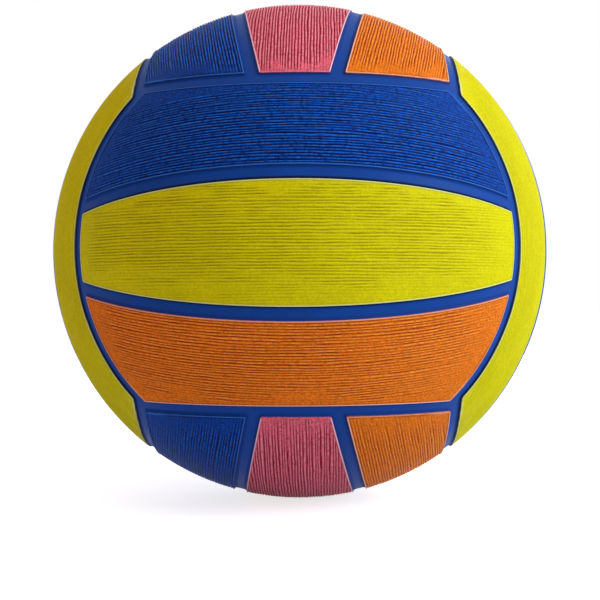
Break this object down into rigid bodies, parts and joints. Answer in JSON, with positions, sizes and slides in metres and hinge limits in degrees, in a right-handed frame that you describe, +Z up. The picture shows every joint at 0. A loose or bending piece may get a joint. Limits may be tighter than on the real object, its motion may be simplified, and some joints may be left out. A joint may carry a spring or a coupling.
{
  "type": "water polo ball",
  "caption": "Inflated moulded rubber ball with raised, ribbed strip panels, smooth channels between them, an inner bladder under a thread winding, and a push-in valve plug.",
  "frame": {"origin": "centre of the ball", "axes": "+Z up through the top face, -Y out of the front face, +Y out of the valve"},
  "size_m": [0.19, 0.1898, 0.19],
  "materials": {
    "blue_rubber": "matt moulded rubber with fine ribs",
    "yellow_rubber": "matt moulded rubber with fine ribs",
    "orange_rubber": "matt moulded rubber with fine ribs",
    "pink_rubber": "matt moulded rubber with fine ribs",
    "base_rubber": "smooth moulded rubber, satin",
    "nylon_thread": "wound thread",
    "butyl_rubber": "smooth butyl rubber",
    "valve_rubber": "smooth moulded rubber, satin",
    "plug_rubber": "smooth butyl rubber, satin"
  },
  "bodies": {
    "ball": {"front_upper": "blue_rubber", "front_middle": "yellow_rubber", "front_lower": "orange_rubber", "rear_upper": "blue_rubber", "rear_middle": "yellow_rubber", "rear_lower": "orange_rubber", "top_left": "blue_rubber", "top_middle": "pink_rubber", "top_right": "orange_rubber", "bottom_left": "blue_rubber", "bottom_middle": "pink_rubber", "bottom_right": "orange_rubber", "right_front": "yellow_rubber", "right_middle": "blue_rubber", "right_rear": "yellow_rubber", "left_rear": "yellow_rubber", "left_middle": "blue_rubber", "left_front": "yellow_rubber", "cover_base": "base_rubber", "thread_winding": "nylon_thread", "bladder": "butyl_rubber", "valve_patch": "butyl_rubber", "valve_boss": "valve_rubber"},
    "plug": {"valve_plug": "plug_rubber"}
  },
  "joints": [
    {"name": "plug_pull", "type": "slide", "parent": "ball", "child": "plug", "axis": [0, 1, 0], "range_m": [0, 0.024]}
  ]
}
